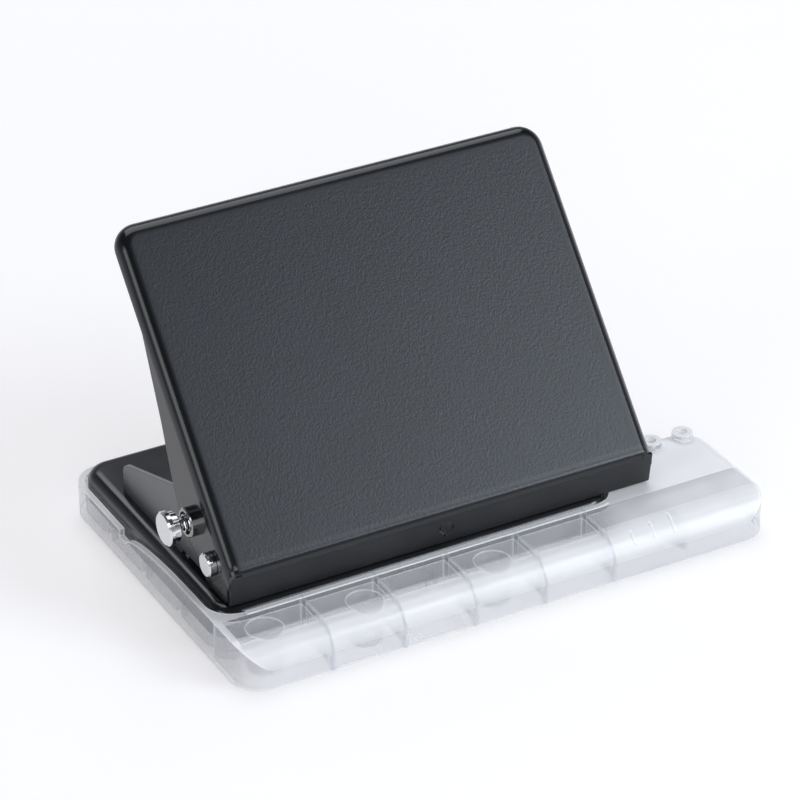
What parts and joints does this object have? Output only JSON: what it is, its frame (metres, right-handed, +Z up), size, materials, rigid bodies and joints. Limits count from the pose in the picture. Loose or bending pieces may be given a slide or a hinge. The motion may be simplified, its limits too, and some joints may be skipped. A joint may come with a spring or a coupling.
{
  "type": "lever paper punch",
  "caption": "Desktop lever punch for ring-planner paper: a folded black steel handle over sprung punches, a side lock pin and a steel base in a clear chip tray.",
  "frame": {"origin": "on the table under the middle of the handle's width and the middle of the tray's depth, at the underside of the middle foot pad", "axes": "+X to the right along the hinge line, +Y from the front lip to the rear, +Z up; the handle rests open"},
  "size_m": [0.2082, 0.1354, 0.1209],
  "materials": {
    "clear_plastic": "frosted, translucent",
    "rubber": "matt",
    "black_steel": "fine-grained black powder coat",
    "plain_steel": "ground",
    "bright_pins": "polished",
    "spring_wire": "drawn wire",
    "zinc_fixings": "zinc plated"
  },
  "bodies": {
    "tray": {"chip_tray": "clear_plastic", "foot_pad_1": "rubber", "foot_pad_2": "rubber", "foot_pad_3": "rubber", "foot_pad_4": "rubber", "foot_pad_5": "rubber", "foot_pad_6": "rubber", "foot_pad_7": "rubber"},
    "frame": {"base_pan": "black_steel", "die_plate": "plain_steel", "bracket_left": "black_steel", "bracket_right": "black_steel", "guide_rail": "plain_steel", "pivot_pin_left": "bright_pins", "pivot_pin_right": "bright_pins", "bracket_rivet_1": "zinc_fixings", "bracket_rivet_2": "zinc_fixings", "bracket_rivet_3": "zinc_fixings", "bracket_rivet_4": "zinc_fixings", "rail_screw_1": "zinc_fixings", "rail_screw_2": "zinc_fixings", "rail_screw_3": "zinc_fixings", "rail_screw_4": "zinc_fixings", "punch_spring_1": "spring_wire", "punch_spring_2": "spring_wire", "punch_spring_3": "spring_wire", "punch_spring_4": "spring_wire", "punch_spring_5": "spring_wire", "punch_spring_6": "spring_wire"},
    "punches": {"punch_1": "plain_steel", "punch_2": "plain_steel", "punch_3": "plain_steel", "punch_4": "plain_steel", "punch_5": "plain_steel", "punch_6": "plain_steel"},
    "handle": {"handle": "black_steel", "press_channel": "plain_steel", "lock_bush": "bright_pins", "lock_spring": "spring_wire"},
    "lock": {"lock_pin": "bright_pins"}
  },
  "joints": [
    {"name": "base_lift", "type": "slide", "parent": "tray", "child": "frame", "axis": [0, 0, 1], "range_m": [0, 0.03]},
    {"name": "handle_hinge", "type": "hinge", "parent": "frame", "child": "handle", "pos_m": [0, -0.03015, 0.0292], "axis": [-1, 0, 0], "range_deg": [0, 38], "stiffness_Nm_per_rad": 0.35, "springref_deg": -34.38},
    {"name": "punch_stroke", "type": "slide", "parent": "frame", "child": "punches", "axis": [0, 0, -1], "range_m": [0, 0.00701], "deforming": ["punch_spring_1", "punch_spring_2", "punch_spring_3", "punch_spring_4", "punch_spring_5", "punch_spring_6"]},
    {"name": "lock_slide", "type": "slide", "parent": "handle", "child": "lock", "axis": [1, 0, 0], "range_m": [0, 0.0032], "stiffness_N_per_m": 300, "springref_m": -0.004, "deforming": ["lock_spring"]}
  ],
  "couplings": [
    {"joint": "punch_stroke", "follows": "handle_hinge", "m_per_rad": 0.010564}
  ]
}
